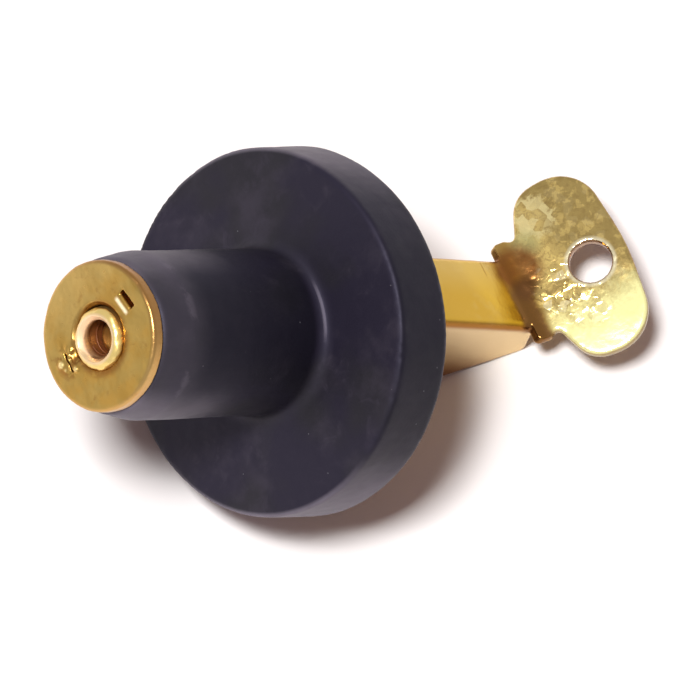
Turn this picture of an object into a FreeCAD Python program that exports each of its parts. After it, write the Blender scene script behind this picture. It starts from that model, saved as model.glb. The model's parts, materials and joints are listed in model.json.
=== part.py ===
import FreeCAD, Part
import math
import os

# Expanding rubber drain plug with a snap lever, lying as it comes to rest.
# Every piece is built about the plug's own axis first: +X runs from the shank's end towards the lever,
# x = 0 is the face of the flange that seats on the hull, and +Z is the side of the lever's closed back.
# The last step lays the whole plug on the ground. Lengths are in millimetres.

# Rubber body
SHANK_DIAMETER = 12.7          # half-inch drain tube
SHANK_LENGTH = 17.25
LEAD_IN_LENGTH = 2.8
LEAD_IN_DIAMETER = 11.6
FLANGE_DIAMETER = 28.2
FLANGE_THICKNESS = 5.3
FLANGE_DRAFT = 0.1             # the mould opens towards the back of the flange
FLANGE_EDGE_RADIUS = 0.4
SHANK_ROOT_RADIUS = 0.9
SHANK_END_RADIUS = 0.5

# Brass washer on the shank's end, with two prongs bent into the rubber
END_WASHER_DIAMETER = 11.36
END_WASHER_THICKNESS = 1.0
END_WASHER_EDGE_RADIUS = 0.3
END_WASHER_MOUTH_CHAMFER = 0.3
PRONG_WIDTH = 1.6
PRONG_THICKNESS = 0.5
PRONG_REACH = 1.7
PRONG_BEND_RADIUS = 0.4
PRONG_INNER_RADIUS = 3.1
PRONG_ANGLES = (11.0, 182.0)   # from +Z towards +Y, in degrees
PRONG_WINDOWS = (0.7, 0.35)     # opening left outside each prong; the second is bent less cleanly

# Threaded bush clinched through the washer
BUSH_DIAMETER = 4.6
BUSH_MOUTH_DIAMETER = 3.9
BUSH_STANDOUT = 0.75
BUSH_COLLAR_DIAMETER = 5.5
BUSH_COLLAR_LENGTH = 3.0
BUSH_BORE = 2.9
BUSH_LIP_RADIUS = 0.25
BUSH_MOUTH_CHAMFER = 0.15

# Draw stem, from the thread in the bush to the eye in the lever
STEM_DIAMETER = 3.5
STEM_THREAD_LENGTH = 5.2
STEM_THREAD_RECESS = 2.4       # the thread ends this far inside the bush's mouth
STEM_EYE_DIAMETER = 4.8
STEM_SHOULDER_CHAMFER = 0.35

# Washer under the cam
THRUST_WASHER_DIAMETER = 13.0
THRUST_WASHER_THICKNESS = 0.8

# Lever, one stamping: a folded channel with a cam at one end and a bent wing at the other
SHEET = 0.9
CHANNEL_WIDTH = 6.3
CHANNEL_BACK = 4.9             # plug axis to the outside of the channel's back, at the bend
BACK_SLOPE_ANGLE = 5.0         # the channel deepens from the bend towards the cam
CHANNEL_FOLD_RADIUS = 0.6      # outside of the fold
CHANNEL_INNER_FOLD_RADIUS = 0.2
CAM_SHORT = 3.2                # pivot to thrust washer with the lever open
CAM_LIFT_PER_RADIAN = 1.3
BEND_PLACE = 25.35             # from the flange's seating face, where back and wing would meet if sharp
BEND_RADIUS = 1.6
BEND_ANGLE = 54.0
EAR_END_ANGLE = 30.0           # where in the bend the ears end, in degrees from the plug axis
EAR_TIP_DEPTH = 3.35           # depth of the ears at the bend, from the outside of the back
EAR_EDGE_SLOPE = 0.6           # how fast the ears' free edge rises towards the wing
EAR_HEEL_RADIUS = 5.0
EAR_TIP_RADIUS = 0.5

# Wing outline, along the wing from the sharp bend and across it
NECK_HALF_WIDTH = 4.4
NECK_START_ANGLE = 20.0        # where in the bend the sheet widens, in degrees from the plug axis
NECK_CORNER_RADIUS = 0.4
NOTCH = (1.6, 3.95)
NOTCH_RADIUS = 0.42
WING_NEAR_CORNER = (3.0, 7.55)
WING_NEAR_RADIUS = 2.6
WING_FAR_CORNER = (8.6, 8.0)
WING_FAR_RADIUS = 3.5
WING_REACH = 9.5
WING_TIP_RADIUS = 20.0
WING_EDGE_RADIUS = 0.25
LANYARD_HOLE_DIAMETER = 3.4
LANYARD_HOLE_PLACE = 6.25
LANYARD_HOLE_OFFSET = -0.3     # punched a little off the wing's middle

# Pivot pin, riveted over outside the ears
PIN_DIAMETER = 2.4
PIN_HEAD_DIAMETER = 4.0
PIN_HEAD_HEIGHT = 0.7
PIN_HEAD_RADIUS = 0.45

# Clearances
RUN = 0.05                     # turning fits: thread, eye on pin
SNUG = 0.02                    # riveted and clinched fits
LOOSE = 0.3                    # stem through rubber and washer, prongs and bush in the rubber
PRONG_PLAY = 0.1
CAM_GAP = 0.1
EYE_SIDE_GAP = 0.35

X = FreeCAD.Vector(1, 0, 0)
Y = FreeCAD.Vector(0, 1, 0)
Z = FreeCAD.Vector(0, 0, 1)
ORIGIN = FreeCAD.Vector(0, 0, 0)

# Places worked out from the sizes
WASHER_OUTER_FACE = -SHANK_LENGTH - END_WASHER_THICKNESS
BUSH_MOUTH = WASHER_OUTER_FACE - BUSH_STANDOUT
THRUST_FACE = FLANGE_THICKNESS + THRUST_WASHER_THICKNESS
CAM_FACE = THRUST_FACE + CAM_GAP
PIVOT = CAM_FACE + CAM_SHORT
CAM_TALL = CAM_SHORT + CAM_LIFT_PER_RADIAN * math.pi / 2
BEND = math.radians(BEND_ANGLE)
BACK_SLOPE = math.radians(BACK_SLOPE_ANGLE)
EAR_END = math.radians(EAR_END_ANGLE)
NECK_START = math.radians(NECK_START_ANGLE)
BEND_SETBACK = BEND_RADIUS * math.tan((BEND + BACK_SLOPE) / 2)
BEND_CENTRE_X = BEND_PLACE - BEND_SETBACK * math.cos(BACK_SLOPE) + BEND_RADIUS * math.sin(BACK_SLOPE)
BEND_CENTRE_Z = CHANNEL_BACK + BEND_SETBACK * math.sin(BACK_SLOPE) + BEND_RADIUS * math.cos(BACK_SLOPE)


def corner_arc(before, corner, after, radius):
    """Start, middle, end and centre of the arc that rounds a corner between two straight edges."""
    back = before - corner
    ahead = after - corner
    back.normalize()
    ahead.normalize()
    inward = back + ahead
    inward.normalize()
    half = back.getAngle(ahead) / 2
    along = radius / math.tan(half)
    centre = corner + inward * (radius / math.sin(half))
    return corner + back * along, centre - inward * radius, corner + ahead * along, centre


def rounded_wire(corners, to_point):
    """Closed wire through (u, v, radius) corners, each turned into a tangent arc of its radius."""
    points = [FreeCAD.Vector(u, v, 0) for u, v, radius in corners]
    count = len(points)
    edges = []
    starts = []
    ends = []
    for i in range(count):
        radius = corners[i][2]
        if radius == 0:
            starts.append(points[i])
            ends.append(points[i])
            continue
        start, middle, end, centre = corner_arc(points[i - 1], points[i], points[(i + 1) % count], radius)
        starts.append(start)
        ends.append(end)
        edges.append(Part.Arc(to_point(start), to_point(middle), to_point(end)).toShape())
    for i in range(count):
        next_start = starts[(i + 1) % count]
        if ends[i].distanceToPoint(next_start) > 1e-6:
            edges.append(Part.LineSegment(to_point(ends[i]), to_point(next_start)).toShape())
    return Part.Wire(Part.sortEdges(edges)[0])


def turned(corners):
    """Solid of revolution about the plug axis, from (x, radius, corner radius) corners."""
    wire = rounded_wire(corners, lambda p: FreeCAD.Vector(p.x, 0, p.y))
    return Part.Face(wire).revolve(ORIGIN, X, 360)


def rod(radius, start, length, direction):
    return Part.makeCylinder(radius, length, start, direction)


def spoke_box(x_from, x_to, r_from, r_to, width, angle):
    """Box along one spoke of the shank's end, angle counted from +Z towards +Y."""
    box = Part.makeBox(x_to - x_from, width, r_to - r_from, FreeCAD.Vector(x_from, -width / 2, r_from))
    box.rotate(ORIGIN, X, -angle)
    return box


def rubber_plug():
    shank_r = SHANK_DIAMETER / 2
    flange_r = FLANGE_DIAMETER / 2
    bore_r = STEM_DIAMETER / 2 + LOOSE
    pocket_r = BUSH_COLLAR_DIAMETER / 2 + PRONG_PLAY
    pocket_floor = -SHANK_LENGTH + BUSH_COLLAR_LENGTH + LOOSE
    body = turned([
        (-SHANK_LENGTH, pocket_r, 0),
        (-SHANK_LENGTH, LEAD_IN_DIAMETER / 2, SHANK_END_RADIUS),
        (-SHANK_LENGTH + LEAD_IN_LENGTH, shank_r, 0),
        (0, shank_r, SHANK_ROOT_RADIUS),
        (0, flange_r, FLANGE_EDGE_RADIUS),
        (FLANGE_THICKNESS, flange_r + FLANGE_DRAFT, FLANGE_EDGE_RADIUS),
        (FLANGE_THICKNESS, bore_r, 0),
        (pocket_floor, bore_r, 0),
        (pocket_floor, pocket_r, 0),
    ])
    for angle in PRONG_ANGLES:
        body = body.cut(spoke_box(
            -SHANK_LENGTH - PRONG_PLAY,
            -SHANK_LENGTH + PRONG_REACH + LOOSE,
            PRONG_INNER_RADIUS - PRONG_PLAY,
            PRONG_INNER_RADIUS + PRONG_THICKNESS + PRONG_PLAY,
            PRONG_WIDTH + 2 * PRONG_PLAY,
            angle,
        ))
    return body


def end_washer():
    hole_r = BUSH_DIAMETER / 2 + SNUG
    plate = turned([
        (WASHER_OUTER_FACE + END_WASHER_MOUTH_CHAMFER, hole_r, 0),
        (WASHER_OUTER_FACE, hole_r + END_WASHER_MOUTH_CHAMFER, 0),
        (WASHER_OUTER_FACE, END_WASHER_DIAMETER / 2, END_WASHER_EDGE_RADIUS),
        (-SHANK_LENGTH, END_WASHER_DIAMETER / 2, 0),
        (-SHANK_LENGTH, hole_r, 0),
    ])
    prong_outer = PRONG_INNER_RADIUS + PRONG_THICKNESS
    for angle, opening in zip(PRONG_ANGLES, PRONG_WINDOWS):
        window = spoke_box(
            WASHER_OUTER_FACE - PRONG_PLAY,
            -SHANK_LENGTH + PRONG_PLAY,
            PRONG_INNER_RADIUS,
            prong_outer + opening,
            PRONG_WIDTH,
            angle,
        )
        prong = bent_prong(prong_outer, angle)
        plate = plate.cut(window).fuse(prong)
    return plate.removeSplitter()


def bent_prong(outer, angle):
    """One tab of the washer, turned down over a rounded bend into the rubber."""
    wire = rounded_wire([
        (WASHER_OUTER_FACE, PRONG_INNER_RADIUS, 0),
        (WASHER_OUTER_FACE, outer, PRONG_BEND_RADIUS),
        (-SHANK_LENGTH + PRONG_REACH, outer, 0),
        (-SHANK_LENGTH + PRONG_REACH, PRONG_INNER_RADIUS, 0),
    ], lambda p: FreeCAD.Vector(p.x, -PRONG_WIDTH / 2, p.y))
    prong = Part.Face(wire).extrude(Y * PRONG_WIDTH)
    prong.rotate(ORIGIN, X, -angle)
    return prong


def threaded_bush():
    bore_r = BUSH_BORE / 2
    outer_r = BUSH_DIAMETER / 2
    collar_end = -SHANK_LENGTH + BUSH_COLLAR_LENGTH
    return turned([
        (BUSH_MOUTH + BUSH_MOUTH_CHAMFER, bore_r, 0),
        (BUSH_MOUTH, bore_r + BUSH_MOUTH_CHAMFER, 0),
        (BUSH_MOUTH, BUSH_MOUTH_DIAMETER / 2, BUSH_LIP_RADIUS),
        (WASHER_OUTER_FACE, outer_r, 0),
        (-SHANK_LENGTH, outer_r, 0),
        (-SHANK_LENGTH, BUSH_COLLAR_DIAMETER / 2, 0),
        (collar_end, BUSH_COLLAR_DIAMETER / 2, 0),
        (collar_end, bore_r, 0),
    ])


def stem():
    thread_r = BUSH_BORE / 2 - RUN
    body_r = STEM_DIAMETER / 2
    eye_r = STEM_EYE_DIAMETER / 2
    thread_start = BUSH_MOUTH + STEM_THREAD_RECESS
    thread_end = thread_start + STEM_THREAD_LENGTH
    shaft = turned([
        (thread_start, 0, 0),
        (thread_start, thread_r - STEM_SHOULDER_CHAMFER, 0),
        (thread_start + STEM_SHOULDER_CHAMFER, thread_r, 0),
        (thread_end, thread_r, 0),
        (thread_end + STEM_SHOULDER_CHAMFER, body_r, 0),
        (PIVOT, body_r, 0),
        (PIVOT, 0, 0),
    ])
    eye_width = CHANNEL_WIDTH - 2 * SHEET - 2 * EYE_SIDE_GAP
    eye = rod(eye_r, FreeCAD.Vector(PIVOT, -eye_width / 2, 0), eye_width, Y)
    pin_hole = rod(PIN_DIAMETER / 2 + RUN, FreeCAD.Vector(PIVOT, -eye_width, 0), 2 * eye_width, Y)
    flats = Part.makeBox(
        2 * (PIVOT - thread_start),
        eye_width,
        2 * STEM_EYE_DIAMETER,
        FreeCAD.Vector(thread_start, -eye_width / 2, -STEM_EYE_DIAMETER),
    )
    return shaft.fuse(eye).common(flats).cut(pin_hole).removeSplitter()


def thrust_washer():
    hole_r = STEM_DIAMETER / 2 + LOOSE
    return turned([
        (FLANGE_THICKNESS, hole_r, 0),
        (FLANGE_THICKNESS, THRUST_WASHER_DIAMETER / 2, 0),
        (THRUST_FACE, THRUST_WASHER_DIAMETER / 2, FLANGE_EDGE_RADIUS / 2),
        (THRUST_FACE, hole_r, 0),
    ])


def pivot_pin():
    half = CHANNEL_WIDTH / 2
    shank_r = PIN_DIAMETER / 2
    head_r = PIN_HEAD_DIAMETER / 2
    tip = half + PIN_HEAD_HEIGHT
    wire = rounded_wire([
        (-tip, 0, 0),
        (-tip, head_r, PIN_HEAD_RADIUS),
        (-half, head_r, 0),
        (-half, shank_r, 0),
        (half, shank_r, 0),
        (half, head_r, 0),
        (tip, head_r, PIN_HEAD_RADIUS),
        (tip, 0, 0),
    ], lambda p: FreeCAD.Vector(PIVOT, p.x, p.y))
    return Part.Face(wire).revolve(FreeCAD.Vector(PIVOT, 0, 0), Y, 360)


def cam_point(turn):
    """Point of the cam that bears on the washer when the lever has turned this far.

    The reach to the washer grows evenly with the turn, so the stem draws in step with the lever.
    """
    reach = CAM_SHORT + CAM_LIFT_PER_RADIAN * turn
    x = PIVOT - reach * math.cos(turn) + CAM_LIFT_PER_RADIAN * math.sin(turn)
    z = -reach * math.sin(turn) - CAM_LIFT_PER_RADIAN * math.cos(turn)
    return FreeCAD.Vector(x, 0, z)


def back_point(x, inset):
    """Point of the channel's back, this far under its outside."""
    outside = CHANNEL_BACK + (BEND_PLACE - x) * math.tan(BACK_SLOPE)
    return FreeCAD.Vector(x, 0, outside - inset / math.cos(BACK_SLOPE))


def bend_point(turn, inset):
    """Point in the bend of the sheet, this far under its concave face, where the sheet has this slope."""
    radius = BEND_RADIUS + inset
    x = BEND_CENTRE_X + radius * math.sin(turn)
    z = BEND_CENTRE_Z - radius * math.cos(turn)
    return FreeCAD.Vector(x, 0, z)


def ear_corners():
    """Heel and tip of the ears' free edge, and the shoulder where their end meets the bend."""
    shoulder = bend_point(EAR_END, 0)
    tip_z = CHANNEL_BACK - EAR_TIP_DEPTH
    tip_x = shoulder.x + (shoulder.z - tip_z) * math.tan(EAR_END)
    heel_x = tip_x - (tip_z + CAM_TALL) / EAR_EDGE_SLOPE
    return FreeCAD.Vector(heel_x, 0, -CAM_TALL), FreeCAD.Vector(tip_x, 0, tip_z), shoulder


def ear_side():
    """Side outline of the channel: cam, heel, free edge, ear end and back."""
    steps = 8
    cam_points = [cam_point(math.pi / 2 * i / steps) for i in range(steps + 1)]
    cam = Part.BSplineCurve()
    cam.interpolate(cam_points)
    heel, tip, shoulder = ear_corners()
    heel_in, heel_mid, heel_out, heel_centre = corner_arc(cam_points[-1], heel, tip, EAR_HEEL_RADIUS)
    tip_in, tip_mid, tip_out, tip_centre = corner_arc(heel, tip, shoulder, EAR_TIP_RADIUS)
    back_end = bend_point(-BACK_SLOPE, 0)
    back_start = back_point(CAM_FACE, 0)
    edges = [
        cam.toShape(),
        Part.LineSegment(cam_points[-1], heel_in).toShape(),
        Part.Arc(heel_in, heel_mid, heel_out).toShape(),
        Part.LineSegment(heel_out, tip_in).toShape(),
        Part.Arc(tip_in, tip_mid, tip_out).toShape(),
        Part.LineSegment(tip_out, shoulder).toShape(),
        Part.Arc(shoulder, bend_point((EAR_END - BACK_SLOPE) / 2, 0), back_end).toShape(),
        Part.LineSegment(back_end, back_start).toShape(),
        Part.LineSegment(back_start, cam_points[0]).toShape(),
    ]
    return Part.Face(Part.Wire(edges))


def hollow_side():
    """Side outline of the channel's inside, one sheet under the back and past its open side and ends."""
    open_end = CAM_FACE - SHEET
    open_side = -CAM_TALL - SHEET
    bend_in = bend_point(-BACK_SLOPE, SHEET)
    bend_out = bend_point(BEND, SHEET)
    low_in = FreeCAD.Vector(open_end, 0, open_side)
    low_out = FreeCAD.Vector(bend_out.x, 0, open_side)
    high_in = back_point(open_end, SHEET)
    edges = [
        Part.LineSegment(low_in, high_in).toShape(),
        Part.LineSegment(high_in, bend_in).toShape(),
        Part.Arc(bend_in, bend_point((BEND - BACK_SLOPE) / 2, SHEET), bend_out).toShape(),
        Part.LineSegment(bend_out, low_out).toShape(),
        Part.LineSegment(low_out, low_in).toShape(),
    ]
    return Part.Face(Part.Wire(edges))


def folded_block(side, half_width, inset, fold_radius):
    """Side outline made as wide as the channel, with the two long edges of its back rounded."""
    side.translate(Y * -half_width)
    block = side.extrude(Y * (2 * half_width))
    folds = [
        edge for edge in block.Edges
        if edge.BoundBox.YLength < 1e-6
        and all(abs(end.Z - back_point(end.X, inset).z) < 1e-6 for end in edge.Vertexes)
    ]
    return block.makeFillet(fold_radius, folds)


def channel():
    half = CHANNEL_WIDTH / 2
    outside = folded_block(ear_side(), half, 0, CHANNEL_FOLD_RADIUS)
    inside = folded_block(hollow_side(), half - SHEET, SHEET, CHANNEL_INNER_FOLD_RADIUS)
    pin_hole = rod(PIN_DIAMETER / 2 + SNUG, FreeCAD.Vector(PIVOT, -CHANNEL_WIDTH, 0), 2 * CHANNEL_WIDTH, Y)
    return outside.cut(inside).cut(pin_hole)


def neck():
    """Bend between back and wing, wider than the channel."""
    middle = (NECK_START + BEND) / 2
    start = bend_point(NECK_START, 0)
    end = bend_point(BEND, 0)
    under_start = bend_point(NECK_START, SHEET)
    under_end = bend_point(BEND, SHEET)
    face = Part.Face(Part.Wire([
        Part.Arc(start, bend_point(middle, 0), end).toShape(),
        Part.LineSegment(end, under_end).toShape(),
        Part.Arc(under_end, bend_point(middle, SHEET), under_start).toShape(),
        Part.LineSegment(under_start, start).toShape(),
    ]))
    face.translate(Y * -NECK_HALF_WIDTH)
    sheet = face.extrude(Y * (2 * NECK_HALF_WIDTH))
    corners = [
        edge for edge in sheet.Edges
        if edge.BoundBox.YLength < 1e-6 and edge.BoundBox.XMax < max(start.x, under_start.x) + 1e-6
    ]
    return sheet.makeFillet(NECK_CORNER_RADIUS, corners)


def wing():
    """Flat two-lobed wing, drawn in its own plane and then tipped up to the bend's angle."""
    half = [
        (BEND_SETBACK, NECK_HALF_WIDTH, 0),
        (NOTCH[0], NOTCH[1], NOTCH_RADIUS),
        (WING_NEAR_CORNER[0], WING_NEAR_CORNER[1], WING_NEAR_RADIUS),
        (WING_FAR_CORNER[0], WING_FAR_CORNER[1], WING_FAR_RADIUS),
    ]
    mirrored = [(a, -b, radius) for a, b, radius in reversed(half)]
    outline = half + [(WING_REACH, 0, WING_TIP_RADIUS)] + mirrored
    wire = rounded_wire(outline, lambda p: FreeCAD.Vector(p.x, p.y, -SHEET))
    plate = Part.Face(wire).extrude(Z * SHEET)
    rim = [edge for edge in plate.Edges if edge.BoundBox.ZLength < SHEET / 2 and edge.BoundBox.XMax > NOTCH[0]]
    plate = plate.makeFillet(WING_EDGE_RADIUS, rim)
    hole_start = FreeCAD.Vector(LANYARD_HOLE_PLACE, LANYARD_HOLE_OFFSET, -2 * SHEET)
    hole = rod(LANYARD_HOLE_DIAMETER / 2, hole_start, 4 * SHEET, Z)
    plate = plate.cut(hole)
    plate.rotate(ORIGIN, Y, -BEND_ANGLE)
    plate.translate(FreeCAD.Vector(BEND_PLACE, 0, CHANNEL_BACK))
    return plate


def cam_lever():
    return channel().fuse([neck(), wing()]).removeSplitter()


PIECES = {
    "rubber_plug": rubber_plug,
    "end_washer": end_washer,
    "threaded_bush": threaded_bush,
    "stem": stem,
    "thrust_washer": thrust_washer,
    "cam_lever": cam_lever,
    "pivot_pin": pivot_pin,
}


def resting_lean():
    """Angle that the plug leans over before the flange's back edge and the ears' tips all touch."""
    heel, tip, shoulder = ear_corners()
    tip_centre = corner_arc(heel, tip, shoulder, EAR_TIP_RADIUS)[3]
    rim_radius = FLANGE_DIAMETER / 2 + FLANGE_DRAFT - FLANGE_EDGE_RADIUS
    rim_centre = FreeCAD.Vector(FLANGE_THICKNESS - FLANGE_EDGE_RADIUS, 0, -rim_radius)
    apart = tip_centre - rim_centre
    return math.atan2(apart.z, apart.x) - math.asin((EAR_TIP_RADIUS - FLANGE_EDGE_RADIUS) / apart.Length)


def lay_down(shapes):
    """Lean the whole plug over, stand it on z = 0 and centre it over the origin."""
    for shape in shapes:
        shape.rotate(ORIGIN, Y, math.degrees(resting_lean()))
    box = Part.makeCompound(shapes).optimalBoundingBox()
    for shape in shapes:
        shape.translate(FreeCAD.Vector(-box.Center.x, 0, -box.ZMin))
    print("lean", math.degrees(resting_lean()), "moved", -box.Center.x, -box.ZMin)
    print("box", box.XLength, box.YLength, box.ZLength)


solids = {name: make() for name, make in PIECES.items()}
lay_down(list(solids.values()))
os.makedirs("parts", exist_ok=True)
for name, shape in solids.items():
    shape.exportStep("parts/" + name + ".step")
    print(name, shape.isValid(), len(shape.Solids), round(shape.Volume, 2))
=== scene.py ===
import json
import math
import bmesh
import bpy
from mathutils import Matrix, Vector, noise
from mathutils.bvhtree import BVHTree


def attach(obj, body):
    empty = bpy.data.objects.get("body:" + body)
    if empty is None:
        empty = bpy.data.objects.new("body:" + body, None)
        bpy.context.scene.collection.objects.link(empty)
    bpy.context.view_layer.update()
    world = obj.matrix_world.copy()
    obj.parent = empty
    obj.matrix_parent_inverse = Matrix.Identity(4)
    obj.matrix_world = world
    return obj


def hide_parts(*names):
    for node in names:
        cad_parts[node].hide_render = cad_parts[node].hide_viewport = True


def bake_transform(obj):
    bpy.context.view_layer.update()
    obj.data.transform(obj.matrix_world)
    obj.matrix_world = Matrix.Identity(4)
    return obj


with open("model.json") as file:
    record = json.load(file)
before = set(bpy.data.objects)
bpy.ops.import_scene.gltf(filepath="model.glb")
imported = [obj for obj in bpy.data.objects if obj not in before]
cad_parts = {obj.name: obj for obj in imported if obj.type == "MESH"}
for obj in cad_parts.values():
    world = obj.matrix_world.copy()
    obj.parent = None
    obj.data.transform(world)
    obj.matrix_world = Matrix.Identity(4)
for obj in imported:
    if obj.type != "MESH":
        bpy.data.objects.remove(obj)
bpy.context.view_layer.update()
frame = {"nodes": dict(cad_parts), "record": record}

# Rubber body
# One moulding of black rubber: a shank that swells in the drain tube and a thick flange that seats on the
# hull. Its edges are worn and dusty with bloom, and the mould left faint rings in a matt skin. Painted
# light is mixed into its colour: sheen on the tops and feet of the rim and shank, shade on their sides,
# and highlights along the flange's edges and at the shank's root.

# Every piece is shaped in the plug's own frame, in millimetres: +X runs along its axis towards the lever,
# +Z is the side of the lever's closed back, and the origin is the middle of the face that seats on the hull.
MM = 0.001
joints = {joint["name"]: joint for joint in frame["record"]["behaviour"]["joints"]}
axis = Vector(joints["draw"]["axis"])
seat = Vector(joints["adjust_turn"]["pos_m"])
across = Vector((0, 1, 0))
lean = Matrix((axis, across, axis.cross(across))).transposed()
row_from_plug = Matrix.Translation(seat) @ lean.to_4x4() @ Matrix.Scale(MM, 4)
plug_from_row = row_from_plug.inverted()


def span(node):
    """Lowest and highest corner of a CAD node in the plug's own frame."""
    points = [plug_from_row @ vert.co for vert in frame["nodes"][node].data.vertices]
    return Vector(map(min, zip(*points))), Vector(map(max, zip(*points)))


def add(name, data):
    """A new object in the scene, at the origin."""
    thing = bpy.data.objects.new(name, data)
    bpy.context.scene.collection.objects.link(thing)
    return thing


WELD = 0.002
EASING_PASSES = 2
ALL_WAYS = {"use_axis_x": True, "use_axis_y": True, "use_axis_z": True}


def workpiece(node, grain):
    """Evenly dense copy of a CAD node in the plug's own frame, with its edges eased."""
    exact = frame["nodes"][node].data.copy()
    exact.transform(plug_from_row)
    shell = bmesh.new()
    shell.from_mesh(exact)
    bmesh.ops.remove_doubles(shell, verts=shell.verts, dist=WELD)
    shell.to_mesh(exact)
    surface = BVHTree.FromBMesh(shell)
    shell.free()
    blank = add(node + "_blank", exact)
    remesh = blank.modifiers.new("even", "REMESH")
    remesh.mode = "VOXEL"
    remesh.voxel_size = grain
    evaluated = blank.evaluated_get(bpy.context.evaluated_depsgraph_get())
    even = bpy.data.meshes.new_from_object(evaluated)
    bpy.data.objects.remove(blank)
    work = bmesh.new()
    work.from_mesh(even)
    bpy.data.meshes.remove(even)
    for vert in work.verts:
        vert.co = surface.find_nearest(vert.co)[0]
    for turn in range(EASING_PASSES):
        bmesh.ops.smooth_vert(work, verts=work.verts, factor=0.5, **ALL_WAYS)
    work.normal_update()
    return work


def warp(work, shift):
    """Moves every point by shift(point, normal), a vector in millimetres."""
    moves = [shift(vert.co, vert.normal) for vert in work.verts]
    for vert, move in zip(work.verts, moves):
        vert.co += move
    work.normal_update()


def rise(value, low, high):
    """0 below low, 1 above high, and smooth between."""
    share = min(1.0, max(0.0, (value - low) / (high - low)))
    return share * share * (3 - 2 * share)


def set_down(work, name, material):
    """Takes a finished piece from the plug's own frame to where the plug lies."""
    mesh = bpy.data.meshes.new(name)
    work.to_mesh(mesh)
    work.free()
    mesh.transform(row_from_plug)
    mesh.shade_smooth()
    mesh.materials.append(material)
    return add(name, mesh)


class Value:
    """A socket, so that shader maths reads as plain expressions."""

    def __init__(self, nodes, socket):
        self.nodes = nodes
        self.socket = socket

    def __add__(self, other):
        return self.nodes.maths("ADD", self, other)

    def __sub__(self, other):
        return self.nodes.maths("SUBTRACT", self, other)

    def __rsub__(self, other):
        return self.nodes.maths("SUBTRACT", other, self)

    def __mul__(self, other):
        return self.nodes.maths("MULTIPLY", self, other)

    def __truediv__(self, other):
        return self.nodes.maths("DIVIDE", self, other)

    def __pow__(self, other):
        return self.nodes.maths("POWER", self, other)

    __radd__ = __add__
    __rmul__ = __mul__

    def size(self):
        return self.nodes.maths("ABSOLUTE", self)

    def hypot(self, other):
        return (self * self + other * other) ** 0.5

    def over(self, low, high):
        """Rises smoothly from 0 at low to 1 at high, or falls where low is the larger."""
        return self.nodes.node("ShaderNodeMapRange", {"interpolation_type": "SMOOTHSTEP"}, (self, low, high))


class Nodes:
    """A node tree that is written as expressions."""

    def __init__(self, tree):
        self.tree = tree
        tree.nodes.clear()

    def node(self, kind, settings=None, inputs=(), output=0):
        made = self.tree.nodes.new(kind)
        for key, value in (settings or {}).items():
            setattr(made, key, value)
        named = inputs if isinstance(inputs, dict) else dict(enumerate(inputs))
        for key, value in named.items():
            if isinstance(value, Value):
                self.tree.links.new(value.socket, made.inputs[key])
            else:
                made.inputs[key].default_value = value
        return Value(self, made.outputs[output]) if made.outputs else None

    def maths(self, operation, *values):
        return self.node("ShaderNodeMath", {"operation": operation}, values)

    def vector(self, operation, *values, output="Vector"):
        return self.node("ShaderNodeVectorMath", {"operation": operation}, values, output)


class Paint(Nodes):
    """A finish for one piece, made of nodes that read the place on the piece in the plug's own frame."""

    def __init__(self, name):
        self.material = bpy.data.materials.new(name)
        self.material.use_nodes = True
        super().__init__(self.material.node_tree)
        self.place = self.node("ShaderNodeMapping", {"vector_type": "TEXTURE"}, {
            "Vector": self.node("ShaderNodeTexCoord", output="Object"),
            "Location": seat,
            "Rotation": lean.to_euler(),
            "Scale": (MM, MM, MM),
        })
        self.x = self.along((1, 0, 0))
        self.y = self.along((0, 1, 0))
        self.z = self.along((0, 0, 1))
        self.radius = self.around(Vector())

    def along(self, direction, start=(0, 0, 0)):
        """Distance from a place, counted along a direction."""
        from_start = self.vector("SUBTRACT", self.place, start)
        return self.vector("DOT_PRODUCT", from_start, direction, output="Value")

    def away(self, centre):
        return self.vector("DISTANCE", self.place, centre, output="Value")

    def around(self, centre):
        """Distance from the line through a place that runs along the plug."""
        return (self.y - centre.y).hypot(self.z - centre.z)

    def noise(self, wave, detail=3.0, roughness=0.55, stretch=(1, 1, 1), twist=0.0):
        """Cloudy pattern whose clouds are about one wave across, in millimetres."""
        return self.node("ShaderNodeTexNoise", inputs={
            "Vector": self.vector("MULTIPLY", self.place, stretch),
            "Scale": 1 / wave,
            "Detail": detail,
            "Roughness": roughness,
            "Distortion": twist,
        })

    def specks(self, spacing, size):
        """Small dots, one in each cell of the spacing."""
        cells = self.node("ShaderNodeTexVoronoi", inputs={"Vector": self.place, "Scale": 1 / spacing})
        return cells.over(size / spacing, 0.5 * size / spacing)

    def mix(self, share, first, second):
        settings = {"data_type": "RGBA", "clamp_factor": True}
        return self.node("ShaderNodeMix", settings, {0: share, 6: first, 7: second}, 2)

    def finish(self, color, roughness, height, **fixed):
        """Ends the material in one surface; height is a relief in millimetres."""
        relief = {"Strength": 1.0, "Distance": MM, "Height": height}
        bump = self.node("ShaderNodeBump", inputs=relief, output="Normal")
        inputs = {"Base Color": color, "Roughness": roughness, "Normal": bump}
        surface = self.node("ShaderNodeBsdfPrincipled", inputs=inputs | fixed)
        self.node("ShaderNodeOutputMaterial", inputs={"Surface": surface})
        return self.material


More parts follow.
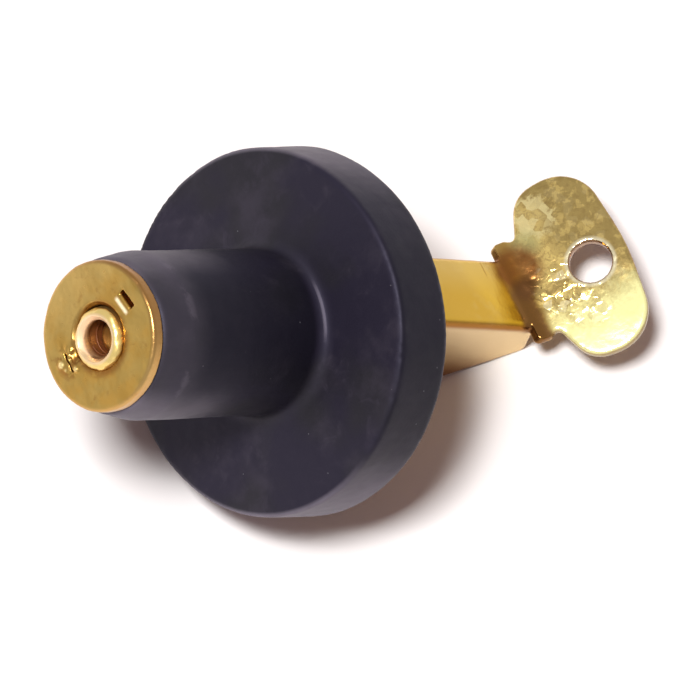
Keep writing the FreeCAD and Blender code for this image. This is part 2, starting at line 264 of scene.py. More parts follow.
rubber_low, rubber_high = span("rubber_plug")
SHANK_END = rubber_low.x
FLANGE_BACK = rubber_high.x
FLANGE_DRAFT = 0.1
FLANGE_RADIUS = rubber_high.y - FLANGE_DRAFT
SHANK_RADIUS = 6.35
LEAD_IN = 2.8
RUBBER_GRAIN = 0.2
ROOT_FILLET = (-0.20, SHANK_RADIUS + 0.30)
PRONG_SHADE_DEPTH = 1.8
PRONG_SHADE_RADIUS = 4.6
RUBBER_BLACK = (0.0120, 0.0100, 0.0190, 1)
RUBBER_GREEN = (0.0135, 0.0125, 0.0150, 1)
RUBBER_SHADE = (0.0040, 0.0035, 0.0062, 1)
RUBBER_CLOUD = (0.034, 0.029, 0.041, 1)
RUBBER_BLOOM_AND_SHEEN = (0.170, 0.152, 0.190, 1)
RUBBER_SPECK = (0.26, 0.25, 0.28, 1)
PRONG_SHADE_BROWN = (0.50, 0.155, 0.038, 1)
UPPER_SIDE = (0, 0.85, 0.53)
LIT_SIDE = (0, -0.30, 0.954)


def from_circle(paint, x, radius):
    """Distance in X and in radius, added up, from a circle round the plug's axis."""
    return (paint.x - x).size() + (paint.radius - radius).size()


def rubber_finish():
    paint = Paint("black_rubber")
    clouds = paint.noise(5.5, 4.0, 0.6)
    smears = paint.noise(1.6, 5.0, 0.65, twist=0.6)
    fine = paint.noise(0.30, 3.0, 0.6)
    worn = paint.noise(0.8, 5.0, 0.7).over(0.40, 0.60)
    upper = paint.along(UPPER_SIDE) / paint.radius
    on_flange = paint.x.over(-0.4, 0.1)
    on_rim = paint.radius.over(FLANGE_RADIUS - 0.45, FLANGE_RADIUS - 0.05) * on_flange
    on_shank = paint.x.over(-0.6, -1.2)
    outer_half = paint.x.over(-6.5, -11.5)
    # Dust bloom together with painted sheen: the top and foot of the rim and of the shank's outer half
    # lighter
    dust_and_sheen_top = upper.over(0.66, 0.97) * (on_shank * outer_half * 0.42 + on_rim * 0.75)
    dust_and_sheen_foot = upper.over(-0.62, -0.98) * (on_shank * outer_half * 0.60 + on_rim * 0.85)
    dusty_end = paint.x.over(-12.0, -15.0) * (paint.radius - SHANK_RADIUS + 0.6).over(-0.6, 0.0) * 0.16
    front_edge = from_circle(paint, 0.0, FLANGE_RADIUS).over(0.26, 0.06)
    back_edge = from_circle(paint, FLANGE_BACK, FLANGE_RADIUS).over(0.7, 0.05)
    lead_edge = from_circle(paint, SHANK_END + LEAD_IN, SHANK_RADIUS).over(0.7, 0.1)
    # Painted highlight on the lit side of the fillet where the shank meets the flange
    root = from_circle(paint, *ROOT_FILLET).over(0.24, 0.08)
    root = root * (paint.along(LIT_SIDE) / paint.radius).over(0.92, 0.995)
    color = paint.mix(paint.noise(9.0, 2.0).over(0.42, 0.60), RUBBER_BLACK, RUBBER_GREEN)
    color = paint.mix(clouds.over(0.48, 0.72) * 0.6, color, RUBBER_CLOUD)
    color = paint.mix(smears.over(0.52, 0.70) * clouds.over(0.38, 0.58) * 0.5, color, RUBBER_CLOUD)
    # Painted shade: the rim and shank darker on their sides, between their lighter top and foot
    color = paint.mix((on_rim + on_shank) * upper.size().over(0.85, 0.40) * 0.7, color, RUBBER_SHADE)
    # Painted sheen mixed with dust on the top and foot
    color = paint.mix((dust_and_sheen_top + dust_and_sheen_foot + dusty_end) * (0.4 + clouds * 1.2), color, RUBBER_BLOOM_AND_SHEEN)
    # Worn bloom along the flange's front and back edges, painted brighter as highlights on the rounded edges
    color = paint.mix(front_edge * worn * 0.42, color, RUBBER_BLOOM_AND_SHEEN)
    color = paint.mix(back_edge * worn * 0.50, color, RUBBER_BLOOM_AND_SHEEN)
    color = paint.mix(lead_edge * smears.over(0.48, 0.62) * 0.22, color, RUBBER_BLOOM_AND_SHEEN)
    # Painted highlight at the shank's root
    color = paint.mix(root * 0.4, color, RUBBER_BLOOM_AND_SHEEN)
    color = paint.mix(paint.specks(1.9, 0.070) * 0.35, color, RUBBER_SPECK)
    # Brass brown painted on the rubber under the washer, where the windows show it: it stands in for the
    # prongs' shaded brass
    under_washer = (paint.x - SHANK_END).over(PRONG_SHADE_DEPTH + 0.8, PRONG_SHADE_DEPTH)
    under_washer = under_washer * paint.radius.over(PRONG_SHADE_RADIUS + 0.4, PRONG_SHADE_RADIUS)
    color = paint.mix(under_washer * 0.9, color, PRONG_SHADE_BROWN)
    rings = paint.maths("SINE", paint.radius * 7.0 + clouds * 4.0)
    height = fine * 0.008 + smears * 0.018 + rings * 0.0016
    tint = {"Specular IOR Level": 0.28, "Specular Tint": (0.78, 0.73, 1.0, 1)}
    return paint.finish(color, 0.42 + smears * 0.20, height, **tint)


TRIMMED_SIDE = Vector((0, 0.30, 0.954))
TRIM = 0.28


def rubber_shift(point, normal):
    """Soft lumps, nicks along the flange's front edge, and one side of the rim trimmed a little flatter."""
    radial = Vector((0, point.y, point.z))
    radius = radial.length
    if radius < SHANK_RADIUS - 1.0:
        return Vector()
    lumps = noise.noise(point * 0.16) * 0.06 + noise.noise(point * 0.9 + Vector((3, 7, 1))) * 0.016
    edge = abs(point.x) + abs(radius - FLANGE_RADIUS)
    nicks = min(0.0, noise.noise(point * 1.6) + 0.25) * 0.12 * max(0.0, 1 - edge / 0.9)
    trim = TRIM * max(0.0, radial.dot(TRIMMED_SIDE) / radius) ** 6 * rise(radius, 8, 13)
    return normal * (lumps + nicks) - radial * (trim / radius)


body = workpiece("rubber_plug", RUBBER_GRAIN)
warp(body, rubber_shift)
rubber = set_down(body, "rubber_body", rubber_finish())
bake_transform(rubber)
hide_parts("rubber_plug")

# End washer
# Stamped from brass sheet, with a soft rolled-over edge from the press. Two prongs are sheared out of its
# face and bent down into the rubber, which leaves torn windows beside the bush.
washer_low, washer_high = span("end_washer")
WASHER_FACE = washer_low.x
WASHER_RADIUS = washer_high.y
TORN_PRONG = Vector((WASHER_FACE, 0, -3.55))
TORN_SQUEEZE = 0.7
CLEAN_SQUEEZE = 0.4
SHADED_SIDE = (0, 0.354, 0.935)
LIP_ASIDE = Vector((0, -0.30, 0.07))
GROOVE_RADIUS = 2.52
CLEAN_PRONG = math.radians(11)
CLEAN_SPOKE = Vector((0, math.sin(CLEAN_PRONG), math.cos(CLEAN_PRONG)))
CLEAN_SIDE = Vector((0, math.cos(CLEAN_PRONG), -math.sin(CLEAN_PRONG)))
CLEAN_BEND = 3.36
CLEAN_SLOT = Vector((WASHER_FACE, 0.80, 4.12))
WASHER_GRAIN = 0.08
WASHER_GOLD = (0.54, 0.313, 0.070, 1)
WASHER_OLIVE = (0.515, 0.335, 0.094, 1)
WASHER_LIGHT = (0.65, 0.435, 0.143, 1)
BRASS_ROSE = (0.74, 0.44, 0.21, 1)
BRASS_HIGHLIGHT_CREAM = (1.0, 0.90, 0.62, 1)
BURR_HIGHLIGHT_GOLD = (1.0, 0.80, 0.36, 1)
# Tarnish, and also the colour of painted shade on the washer's rim, round the bush and on the lever's folds
TARNISH_AND_SHADE_BROWN = (0.24, 0.075, 0.016, 1)


def scratches(paint, wave):
    """Fine handling scratches that cross at two slants, from 0 to 1."""
    first = paint.noise(wave, 2.0, 0.5, stretch=(1.0, 9.0, 2.0)).over(0.60, 0.72)
    second = paint.noise(wave * 1.3, 2.0, 0.5, stretch=(1.5, 2.0, 11.0)).over(0.62, 0.74)
    return first + second


def washer_finish():
    paint = Paint("washer_brass")
    tone = paint.noise(3.0, 4.0, 0.6)
    smudge = paint.noise(1.1, 5.0, 0.65, twist=0.5)
    color = paint.mix(tone.over(0.38, 0.60), WASHER_GOLD, WASHER_OLIVE)
    color = paint.mix((paint.y + tone * 4.0).over(3.0, 7.0) * 0.8, color, WASHER_LIGHT)
    color = paint.mix(smudge.over(0.56, 0.74) * 0.35, color, TARNISH_AND_SHADE_BROWN)
    # Painted shade: a dark ring round the bush's foot, as in a gap there, broken up by the smudges
    groove_shade = (paint.around(LIP_ASIDE) - GROOVE_RADIUS).size().over(0.62, 0.0) * smudge.over(0.30, 0.50)
    color = paint.mix(groove_shade * 0.65, color, TARNISH_AND_SHADE_BROWN)
    rim = paint.radius.over(WASHER_RADIUS - 0.40, WASHER_RADIUS - 0.05)
    color = paint.mix(rim * 0.35, color, BRASS_ROSE)
    # Painted shade: the rim darkened on its upper right side, which also breaks up the highlight along it
    shaded = rim * paint.along(SHADED_SIDE).over(0.5, 5.0) * 0.6
    color = paint.mix(shaded, color, TARNISH_AND_SHADE_BROWN)
    torn = paint.away(TORN_PRONG).over(1.7, 0.6)
    color = paint.mix(torn * smudge.over(0.50, 0.58) * 0.7, color, TARNISH_AND_SHADE_BROWN)
    proud = (paint.x - WASHER_FACE).over(-0.03, -0.13) * torn
    # Painted highlight: pale cream, less metallic, along the bend of the clean prong
    bend_highlight = (paint.along(CLEAN_SPOKE) - CLEAN_BEND + smudge * 0.1).size().over(0.26, 0.04)
    bend_highlight = bend_highlight * paint.along(CLEAN_SIDE).size().over(0.95, 0.60)
    # Painted highlight: the burrs standing proud by the torn prong a bright gold
    color = paint.mix(proud * 0.9, color, BURR_HIGHLIGHT_GOLD)
    color = paint.mix(bend_highlight * 0.9, color, BRASS_HIGHLIGHT_CREAM)
    marks = scratches(paint, 1.4)
    height = smudge * 0.014 - marks * 0.003 + paint.noise(0.3, 3.0) * 0.003
    roughness = 0.23 + smudge * 0.14 + marks * 0.03
    return paint.finish(color, roughness, height, Metallic=1.0 - bend_highlight * 0.8 - proud * 0.3)


# Place across the face, reach and height of each burr
BURRS = (
    (0.1, -4.3, 0.42, 0.20),
    (-0.9, -3.2, 0.34, 0.18),
    (0.55, -3.0, 0.26, 0.14),
    (-0.45, -4.1, 0.26, 0.12),
)


def fade(value, near, far):
    """1 below near, 0 above far, and smooth between."""
    return 1 - rise(value, near, far)


def washer_shift(point, normal):
    """A face that isn't quite flat, windows narrowed by torn metal, and burrs round the torn prong."""
    bruise = max(0.0, 1 - (point - TORN_PRONG).length / 1.6)
    dents = noise.noise(point * 2.3 + Vector((1, 4, 2))) * 0.12 * bruise
    uneven = noise.noise(point * 0.6) * 0.035 + noise.noise(point * 2.4) * 0.008
    squeeze = TORN_SQUEEZE * fade((point - TORN_PRONG).length, 1.0, 1.7) * (TORN_PRONG.z - point.z)
    narrow = CLEAN_SQUEEZE * fade((point - CLEAN_SLOT).length, 0.95, 1.5)
    narrow *= (CLEAN_SLOT - point).dot(CLEAN_SPOKE)
    burr = 0.0
    if normal.x < -0.5:
        for y, z, reach, height in BURRS:
            burr += height * fade(math.hypot(point.y - y, point.z + squeeze - z), 0, reach)
    return normal * (uneven + dents + burr) + Vector((0, 0, squeeze)) + CLEAN_SPOKE * narrow


plate = workpiece("end_washer", WASHER_GRAIN)
warp(plate, washer_shift)
washer = set_down(plate, "stamped_end_washer", washer_finish())
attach(washer, "end_cap")
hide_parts("end_washer")

# Threaded bush
# Turned brass, pushed through the washer from behind and clinched over, so that its lip is rolled and a
# little ragged. The stem screws into the thread in its bore.
BUSH_BORE = 1.45
BUSH_MOUTH = span("threaded_bush")[0].x
BUSH_FLAT = 1.80
BUSH_FOOT = 2.32
LIP_FLARE = 0.22
LIP_SUNK = 0.18
BUSH_PROUD = WASHER_FACE - BUSH_MOUTH
BUSH_GRAIN = 0.06
LIP_ROSE = (0.98, 0.71, 0.40, 1)
BUSH_GOLD = (0.92, 0.68, 0.24, 1)
BORE_CREAM = (0.95, 0.66, 0.40, 1)
BORE_SHADE_BROWN = (0.11, 0.034, 0.016, 1)


def bush_finish():
    paint = Paint("bush_brass")
    smudge = paint.noise(0.8, 4.0, 0.6)
    depth = paint.x - BUSH_MOUTH
    bore = paint.radius.over(BUSH_BORE + 0.16, BUSH_BORE + 0.06)
    color = paint.mix(paint.around(LIP_ASIDE).over(BUSH_FLAT + 0.25, BUSH_FLAT), BUSH_GOLD, LIP_ROSE)
    # Painted shade: the bore turns dark brown deeper in, past its cream mouth
    inside = paint.mix((depth + smudge * 0.6).over(0.9, 1.7), BORE_CREAM, BORE_SHADE_BROWN)
    color = paint.mix(bore, color, inside)
    # Darker at the foot, where the bush meets the washer
    foot = paint.x.over(WASHER_FACE - 0.22, WASHER_FACE)
    color = paint.mix(foot * 0.5, color, TARNISH_AND_SHADE_BROWN)
    color = paint.mix(smudge.over(0.58, 0.74) * 0.35, color, TARNISH_AND_SHADE_BROWN)
    height = smudge * 0.02 + paint.noise(0.25, 2.0) * 0.004
    return paint.finish(color, 0.24 + smudge * 0.14 + bore * 0.15, height, Metallic=0.85 - bore * 0.55)


def bush_shift(point, normal):
    """The mouth flared and rolled over into a round lip, a little aside, dented and uneven."""
    radius = math.hypot(point.y, point.z)
    share = (point.x - BUSH_MOUTH) / BUSH_PROUD
    outwards = Vector((0, point.y, point.z)) / radius
    aside = LIP_ASIDE * fade(share, 1.0, 2.2)
    if share > 1:
        return aside
    sunk = Vector((LIP_SUNK * (1 - share), 0, 0))
    if radius < BUSH_FLAT:
        inwards = min(1.0, (BUSH_FLAT - radius) / (BUSH_FLAT - BUSH_BORE))
        return aside + sunk + outwards * (LIP_FLARE * fade(share, 0, 0.75) * inwards)
    rolled = BUSH_FLAT + (BUSH_FOOT - BUSH_FLAT) * math.sqrt(max(0.0, 1 - (1 - share) ** 2))
    dents = noise.noise(point * 1.1) * 0.13 + noise.noise(point * 3.0) * 0.03
    dents *= rise(radius, BUSH_FLAT, BUSH_FLAT + 0.3)
    return aside + sunk + outwards * (rolled - radius) + normal * dents


collar = workpiece("threaded_bush", BUSH_GRAIN)
warp(collar, bush_shift)
bush_paint = bush_finish()
bush = set_down(collar, "clinched_bush", bush_paint)
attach(bush, "end_cap")
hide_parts("threaded_bush")

THREAD_START = 1.55
THREAD_STEPS = 48
THREAD_SIZES = {"Radius": BUSH_BORE, "Pitch": 0.7, "Depth": 0.10, "Turns": 1.1}


def thread_tree(material):
    """Node tree that winds a three-cornered ridge round the X axis."""
    tree = bpy.data.node_groups.new("thread_ridge", "GeometryNodeTree")
    face = tree.interface
    face.new_socket("Geometry", in_out="OUTPUT", socket_type="NodeSocketGeometry")
    for name in THREAD_SIZES:
        face.new_socket(name, in_out="INPUT", socket_type="NodeSocketFloat")
    nodes = Nodes(tree)
    given = nodes.node("NodeGroupInput").socket.node.outputs
    radius, pitch, depth, turns = [Value(nodes, given[name]) for name in THREAD_SIZES]
    spiral = nodes.node("GeometryNodeCurveSpiral", inputs={
        "Resolution": THREAD_STEPS,
        "Rotations": turns,
        "Start Radius": radius,
        "End Radius": radius,
        "Height": turns * pitch,
    })
    upright = nodes.node("GeometryNodeSetCurveNormal", {"mode": "Z_UP"}, {"Curve": spiral})
    ridge = nodes.node("GeometryNodeCurvePrimitiveCircle", inputs={"Resolution": 3, "Radius": depth})
    profile = {"Curve": upright, "Profile Curve": ridge, "Fill Caps": True}
    wound = nodes.node("GeometryNodeCurveToMesh", inputs=profile)
    turned = nodes.node("GeometryNodeTransform", inputs={"Geometry": wound, "Rotation": (0, math.pi / 2, 0)})
    real = nodes.node("GeometryNodeRealizeInstances", inputs={"Geometry": turned})
    coated = nodes.node("GeometryNodeSetMaterial", inputs={"Geometry": real, "Material": material})
    nodes.node("NodeGroupOutput", inputs={"Geometry": coated})
    return tree


blank = add("thread_blank", bpy.data.meshes.new("thread_blank"))
winding = blank.modifiers.new("thread", "NODES")
winding.node_group = thread_tree(bush_paint)
for item in winding.node_group.interface.items_tree:
    if item.in_out == "INPUT":
        winding[item.identifier] = THREAD_SIZES[item.name]
wound = blank.evaluated_get(bpy.context.evaluated_depsgraph_get())
thread_mesh = bpy.data.meshes.new_from_object(wound)
bpy.data.objects.remove(blank)
thread_mesh.transform(row_from_plug @ Matrix.Translation((BUSH_MOUTH + THREAD_START, 0, 0)))
thread = add("bush_thread", thread_mesh)
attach(thread, "end_cap")

# Lever
# One stamping of sheet brass: a channel whose ears carry the pin and press on the washer, and a two-lobed
# wing bent up at its end for the thumb. The press crumpled it at the bend and round the lanyard hole.
BACK_FACE = 4.9
BACK_SLOPE = math.radians(5)
HALF_CHANNEL = 3.15
BEND_PLACE = Vector((25.35, 0, BACK_FACE))
BEND_ANGLE = math.radians(54)
BACK_NORMAL = Vector((math.sin(BACK_SLOPE), 0, math.cos(BACK_SLOPE)))
WING_ALONG = Vector((math.cos(BEND_ANGLE), 0, math.sin(BEND_ANGLE)))
WING_NORMAL = Vector((-math.sin(BEND_ANGLE), 0, math.cos(BEND_ANGLE)))
HOLE_PLACE = (6.25, -0.3)
HOLE_RADIUS = 1.7
BOW = 0.0055
BACK_DISH = 0.15
LEVER_GRAIN = 0.12
LEVER_GOLD = (0.86, 0.53, 0.062, 1)
LEVER_SHADE_GOLD = (0.74, 0.44, 0.055, 1)
LEVER_TAN = (0.82, 0.60, 0.24, 1)
LEVER_AMBER = (0.62, 0.34, 0.011, 1)
EAR_REFLECTION_CREAM = (0.72, 0.53, 0.27, 1)
WING_GOLD = (0.94, 0.69, 0.235, 1)
WING_DIM_OLIVE = (0.50, 0.355, 0.120, 1)
WING_FLECK_AND_SHADE_BROWN = (0.36, 0.235, 0.080, 1)
WING_HIGHLIGHT_PALE = (0.89, 0.865, 0.395, 1)
WING_GLINT_GOLD = (1.0, 0.83, 0.40, 1)
WING_GREEN = (0.50, 0.50, 0.22, 1)
BEND_RED = (0.25, 0.088, 0.020, 1)
BEND_BROWN = (0.13, 0.052, 0.014, 1)
CREASE_BROWN = (0.19, 0.082, 0.028, 1)
EDGE_BROWN = (0.34, 0.205, 0.090, 1)

# Places on the wing: how far from the bend, and how far across
BEND_STAIN = (0.8, 1.7)
DARK_STAIN = (0.85, 0.0)
BENT_CORNER = (0.1, 3.7)
GREEN_PATCH = (2.3, 3.4)
GOLD_PATCH = (3.2, 5.2)
GLINT_PATCH = (3.7, 5.2)
CRUMPLED_BEND = (2.6, -1.0)
CRUMPLED_HOLE = (4.6, -3.4)
CRUMPLED_LOBE = (3.9, -2.6)
CREASE = 0.2


def wing_place(along, over):
    return BEND_PLACE + WING_ALONG * along + across * over


def cell_tones(paint, wave):
    """One random value from 0 to 1 for each small cell."""
    inputs = {"Vector": paint.place, "Scale": 1 / wave}
    cells = paint.node("ShaderNodeTexVoronoi", inputs=inputs, output="Color")
    return paint.vector("DOT_PRODUCT", cells, (1, 0, 0), output="Value")


def facets(paint, wave, softness):
    """Relief of small flats, each tilted its own way, as in crumpled sheet."""
    settings = {"feature": "SMOOTH_F1"}
    inputs = {"Vector": paint.place, "Scale": 1 / wave, "Smoothness": softness}
    middle = paint.node("ShaderNodeTexVoronoi", settings, inputs, "Position")
    tilt = Value(paint, middle.socket.node.outputs["Color"])
    tilt = paint.vector("SUBTRACT", tilt, (0.5, 0.5, 0.5))
    from_middle = paint.vector("SUBTRACT", paint.place, middle)
    return paint.vector("DOT_PRODUCT", tilt, from_middle, output="Value")


def lever_finish():
    paint = Paint("lever_brass")
    tone = paint.noise(2.2, 4.0, 0.6)
    patches = paint.noise(1.1, 4.0, 0.6, twist=0.4)
    flecks = paint.noise(0.5, 5.0, 0.7, twist=0.8)
    along = paint.along(WING_ALONG, BEND_PLACE)
    above = paint.along(WING_NORMAL, BEND_PLACE) + paint.y * paint.y * BOW
    under_back = paint.along(BACK_NORMAL, BEND_PLACE)
    wing = along.over(0.4, 1.6)
    stained = (paint.away(wing_place(*BEND_STAIN)) + patches * 0.8).over(3.1, 1.7)

    # Painted shade: the back darker towards the flange
    color = paint.mix((paint.x + paint.y * 0.43).over(21.5, 19.0), LEVER_GOLD, LEVER_SHADE_GOLD)
    color = paint.mix(paint.y.over(-1.0, 3.2) * 0.5 + tone.over(0.5, 0.7) * 0.25, color, LEVER_TAN)
    color = paint.mix((paint.x + tone * 2.0 - paint.y * 0.5).over(23.2, 25.2) * 0.9, color, LEVER_AMBER)
    # Painted reflection: the ears a paler cream, for the white floor they mirror
    ear = under_back.over(-0.30, -0.75)
    color = paint.mix(ear, color, EAR_REFLECTION_CREAM)
    # A darker smear towards the ears' free edges, and painted shade there as well
    color = paint.mix(ear * (paint.z + tone).over(1.8, -1.4) * 0.8, color, TARNISH_AND_SHADE_BROWN)
    # Painted shade: a dark line along the folds between back and ears, which also dulls their highlight
    fold = ((paint.y.size() - HALF_CHANNEL + 0.1).size() + (under_back + 0.35).size()).over(0.70, 0.15)
    color = paint.mix(fold * 0.8, color, TARNISH_AND_SHADE_BROWN)

    # Painted reflection: the far lobe a duller olive, for the dimmer room it mirrors
    far = (along + paint.y * 0.35 + patches * 2.0).over(5.2, 7.2)
    skin = paint.mix(far, WING_GOLD, WING_DIM_OLIVE)
    skin = paint.mix(paint.away(wing_place(*GOLD_PATCH)).over(1.9, 0.9) * 0.9, skin, WING_GOLD)
    skin = paint.mix(patches.over(0.53, 0.60) * 0.50, skin, WING_GOLD)
    skin = paint.mix(flecks.over(0.50, 0.60) * 0.45, skin, WING_FLECK_AND_SHADE_BROWN)
    chips = cell_tones(paint, 0.75)
    bend_zone = paint.away(wing_place(*CRUMPLED_BEND)).over(3.2, 1.4)
    hole_zone = paint.away(wing_place(*CRUMPLED_HOLE)).over(2.6, 1.0) * 0.7
    mosaic = paint.maths("MAXIMUM", bend_zone, hole_zone)
    # Painted highlight: the near lobe pale yellow and less metallic, so the lamp lights it bright
    pale = (paint.y + flecks * 2.6 + patches * 2.0).over(1.2, -2.6) * wing
    skin = paint.mix(pale, skin, WING_HIGHLIGHT_PALE)
    # Painted shade and highlights: crumpled facets round the bend and hole, dark brown or cream cell by cell
    skin = paint.mix(chips.over(0.55, 0.25) * (mosaic * 0.45 + (1.0 - pale) * 0.22), skin, WING_FLECK_AND_SHADE_BROWN)
    skin = paint.mix(chips.over(0.78, 0.86) * (mosaic * 0.4 + 0.05), skin, BRASS_HIGHLIGHT_CREAM)
    # Painted glint: irregular light gold facets on the far lobe
    glint = (paint.away(wing_place(*GLINT_PATCH)) + flecks * 2.4).over(3.3, 2.5)
    skin = paint.mix(glint * chips.over(0.15, 0.45) * 0.8, skin, WING_GLINT_GOLD)
    hole = (along - HOLE_PLACE[0]).hypot(paint.y - HOLE_PLACE[1])
    # Painted highlight: a cream ring round the lanyard hole, with a dark line right at its edge
    skin = paint.mix(hole.over(HOLE_RADIUS + 0.5, HOLE_RADIUS + 0.2) * 0.75, skin, BRASS_HIGHLIGHT_CREAM)
    skin = paint.mix(hole.over(HOLE_RADIUS + 0.14, HOLE_RADIUS + 0.06) * 0.8, skin, TARNISH_AND_SHADE_BROWN)
    rim = above.over(-0.04, -0.14) * hole.over(HOLE_RADIUS + 0.2, HOLE_RADIUS + 0.5)
    skin = paint.mix(rim * 0.8, skin, EDGE_BROWN)
    color = paint.mix(wing, color, skin)

    color = paint.mix(paint.away(wing_place(*GREEN_PATCH)).over(1.7, 0.4) * 0.55, color, WING_GREEN)
    color = paint.mix(paint.away(wing_place(*BENT_CORNER)).over(1.6, 0.6) * 0.6, color, EDGE_BROWN)
    color = paint.mix(stained * (0.75 + tone * 0.4), color, BEND_RED)
    dark = (paint.away(wing_place(*DARK_STAIN) + WING_NORMAL * 0.3) + flecks * 0.6).over(1.8, 0.8)
    color = paint.mix(dark * 0.9, color, BEND_BROWN)
    crease = (along - CREASE).hypot(above - 0.3)
    crease = (crease + flecks * 0.7).over(1.70, 1.00) * paint.y.over(1.2, -0.4)
    color = paint.mix(crease * 0.92, color, CREASE_BROWN)

    crumpled = (0.10 - pale * 0.08 + bend_zone * 0.8 + hole_zone) * (1.0 - stained * 0.6)
    marks = scratches(paint, 1.1)
    height = wing * crumpled * (facets(paint, 1.25, 0.4) * 0.11 + facets(paint, 0.70, 0.4) * 0.09)
    height = height + (1.0 - wing) * (paint.x - BEND_PLACE.x) * BACK_DISH
    height = height + flecks * 0.004 - marks * 0.0003 + tone * 0.03
    roughness = 0.14 + tone * 0.05 + marks * 0.008 + stained * 0.05
    return paint.finish(color, roughness, height, Metallic=0.90 - ear * 0.18 - pale * 0.63)


FOLD_MIDDLE = 0.8
FOLD_REACH = 2.6
LIP_REACH = 1.4
LOBE_REACH = 3.4


def lever_shift(point, normal):
    """Sheet metal that moves with both its faces: a bowed, crumpled wing and a slightly wavy channel."""
    along = (point - BEND_PLACE).dot(WING_ALONG)
    wave = noise.noise(point * 0.45) * 0.05
    if along < -2.5 or point.x < BEND_PLACE.x - 3:
        return normal * (wave * 0.6 + noise.noise(point * 1.6) * 0.003)
    wing = rise(along, -0.5, 2.5)
    hole = math.hypot(along - HOLE_PLACE[0], point.y - HOLE_PLACE[1])
    crease = fade(abs(along - FOLD_MIDDLE), 0, FOLD_REACH)
    lip = fade(hole, HOLE_RADIUS, HOLE_RADIUS + LIP_REACH)
    lobe = fade(math.hypot(along - CRUMPLED_LOBE[0], point.y - CRUMPLED_LOBE[1]), 0, LOBE_REACH)
    crumple = 0.15 + 0.9 * max(crease, 0.5 * lip, lobe)
    folds = noise.noise(point * 1.3 + Vector((2, 0, 5)))
    folds += 0.55 * noise.noise(point * 2.9 + Vector((9, 1, 4)))
    return WING_NORMAL * (wing * (wave - BOW * point.y ** 2 + crumple * folds * 0.045))


stamping = workpiece("cam_lever", LEVER_GRAIN)
warp(stamping, lever_shift)
lever = set_down(stamping, "stamped_cam_lever", lever_finish())
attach(lever, "lever")
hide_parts("cam_lever")

# Pivot pin, stem and thrust washer
# The pin is riveted over outside the ears, the stem's eye turns on it, and the washer keeps the cam from
# cutting into the rubber. All three are plain brass, dull from handling.
PLAIN_BRASS = (0.78, 0.52, 0.15, 1)


def dull_finish(name):
    paint = Paint(name)
    tone = paint.noise(1.6, 4.0, 0.6)
    color = paint.mix(tone.over(0.42, 0.68) * 0.5, PLAIN_BRASS, TARNISH_AND_SHADE_BROWN)
    marks = scratches(paint, 0.9)
    height = tone * 0.02 - marks * 0.004 + paint.noise(0.25, 2.0) * 0.003
    return paint.finish(color, 0.28 + tone * 0.2 + marks * 0.05, height, Metallic=1.0)


def hammered(point, normal):
    return normal * (noise.noise(point * 1.1) * 0.02 + noise.noise(point * 3.3) * 0.006)


def plain_piece(node, name, body, grain, slot):
    work = workpiece(node, grain)
    warp(work, hammered)
    piece = set_down(work, name, dull_finish(slot))
    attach(piece, body)
    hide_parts(node)


plain_piece("pivot_pin", "riveted_pin", "lever", 0.08, "pin_brass")
plain_piece("stem", "turned_stem", "draw_stem", 0.09, "stem_brass")
plain_piece("thrust_washer", "flat_thrust_washer", "plug", 0.12, "thrust_washer_brass")

# Floor, light and camera
# A white sheet under one soft lamp beside the camera, up and to the left, in a dim warm room whose pale
# walls show in the brass. The view is the photograph's: a long lens that looks down on the shank's end.

# The camera's place and axes in the plug's own frame
VIEW_PLACE = Vector((-449.54, -206.58, 343.51))
VIEW_RIGHT = Vector((0.6569, -0.4097, 0.6329))
VIEW_UP = Vector((0.0183, 0.8479, 0.5299))
LENS = 407.755

backward = VIEW_RIGHT.cross(VIEW_UP).normalized()
sideways = VIEW_UP.cross(backward).normalized()
turned_view = lean @ Matrix((sideways, VIEW_UP.normalized(), backward)).transposed()
lens = bpy.data.cameras.new("view")
lens.sensor_width = 36
lens.lens = LENS
lens.clip_end = 10
camera = add("view", lens)
camera.matrix_world = Matrix.Translation(row_from_plug @ VIEW_PLACE) @ turned_view.to_4x4()
bpy.context.scene.camera = camera

# Past the reach of the shadow the sheet is seen as plain white, as the walls behind it are
FLOOR_HALF = 1.5
FLOOR_WHITE = (0.94, 0.915, 0.905, 1)
PLAIN_WHITE = (1, 1, 1, 1)
SHADOW_ENDS = 0.07
ALL_WHITE = 0.14
SEEN_RAYS = ("Is Camera Ray", "Is Glossy Ray", "Is Transmission Ray")


def seen_rays(nodes):
    """1 for rays that show the background: straight from the camera, mirrored or let through."""
    path = nodes.node("ShaderNodeLightPath").socket.node.outputs
    straight, mirrored, through = [Value(nodes, path[name]) for name in SEEN_RAYS]
    return nodes.maths("MAXIMUM", straight, nodes.maths("MAXIMUM", mirrored, through))


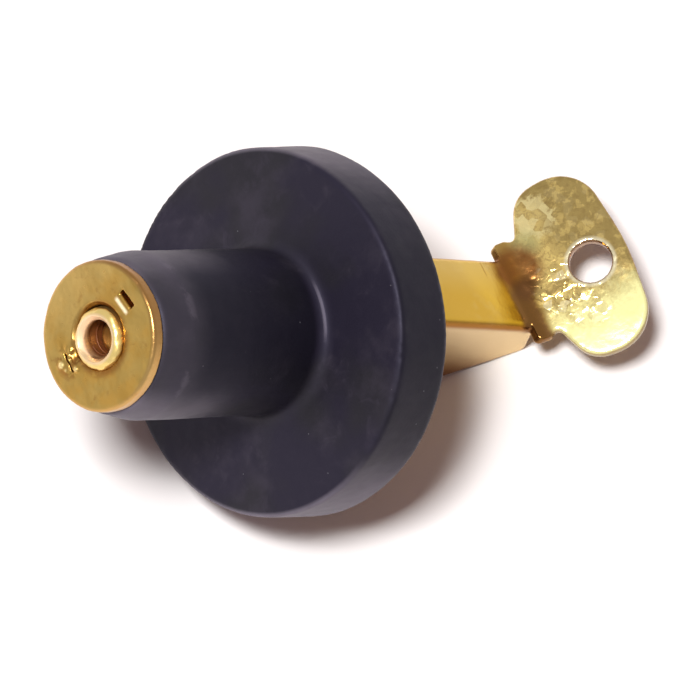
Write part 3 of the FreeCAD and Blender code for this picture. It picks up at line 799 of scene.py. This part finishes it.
floor_mesh = bpy.data.meshes.new("floor")
floor_mesh.from_pydata([
    (-FLOOR_HALF, -FLOOR_HALF, 0),
    (FLOOR_HALF, -FLOOR_HALF, 0),
    (FLOOR_HALF, FLOOR_HALF, 0),
    (-FLOOR_HALF, FLOOR_HALF, 0),
], [], [(0, 1, 2, 3)])
floor = add("floor", floor_mesh)
floor_paint = bpy.data.materials.new("white_sheet")
floor_paint.use_nodes = True
sheet = Nodes(floor_paint.node_tree)
lit = sheet.node("ShaderNodeBsdfDiffuse", inputs={"Color": FLOOR_WHITE})
white = sheet.node("ShaderNodeEmission", inputs={"Color": PLAIN_WHITE, "Strength": 1.0})
reach = sheet.vector("LENGTH", sheet.node("ShaderNodeTexCoord", output="Object"), output="Value")
white_share = reach.over(SHADOW_ENDS, ALL_WHITE) * seen_rays(sheet)
surface = sheet.node("ShaderNodeMixShader", inputs={0: white_share, 1: lit, 2: white})
sheet.node("ShaderNodeOutputMaterial", inputs={"Surface": surface})
floor_mesh.materials.append(floor_paint)

# The walls are white straight from the camera, duller in the brass, and brighter on one side
WALLS = 0.62
WALLS_BRIGHT = 0.85
BRIGHT_SIDE = Vector((0.94, 0.34, 0.03)).normalized()
BRIGHT_FROM = 0.60
BRIGHT_FULL = 0.95
ROOM = (0.212, 0.146, 0.140, 1)
world = bpy.data.worlds.new("studio")
world.use_nodes = True
bpy.context.scene.world = world
sky = Nodes(world.node_tree)
looking = sky.node("ShaderNodeTexCoord", output="Generated")
towards_it = sky.vector("DOT_PRODUCT", looking, BRIGHT_SIDE, output="Value")
lighter = towards_it.over(BRIGHT_FROM, BRIGHT_FULL)
level = lighter * (WALLS_BRIGHT - WALLS) + WALLS
level = sky.maths("MAXIMUM", level, sky.node("ShaderNodeLightPath", output="Is Camera Ray"))
walls = sky.node("ShaderNodeBackground", inputs={"Color": PLAIN_WHITE, "Strength": level})
room = sky.node("ShaderNodeBackground", inputs={"Color": ROOM, "Strength": 1.0})
glow = sky.node("ShaderNodeMixShader", inputs={0: seen_rays(sky), 1: room, 2: walls})
sky.node("ShaderNodeOutputWorld", inputs={"Surface": glow})

# The lamp's direction is given in the camera's own axes
LAMP_SIDE = Vector((-0.155, 0.22, 0.963)).normalized()
LAMP_DISTANCE = 1.2
LAMP_SIZE = 0.23
LAMP_POWER = 16.5
LAMP_AIM = Vector((5, 0, 0))
towards = camera.matrix_world.to_3x3() @ LAMP_SIDE
light = bpy.data.lights.new("key", "AREA")
light.size = LAMP_SIZE
light.energy = LAMP_POWER
lamp = add("key", light)
turned_lamp = towards.to_track_quat("Z", "Y").to_matrix().to_4x4()
lamp_place = row_from_plug @ LAMP_AIM + towards * LAMP_DISTANCE
lamp.matrix_world = Matrix.Translation(lamp_place) @ turned_lamp

bpy.context.scene.view_settings.view_transform = "Standard"
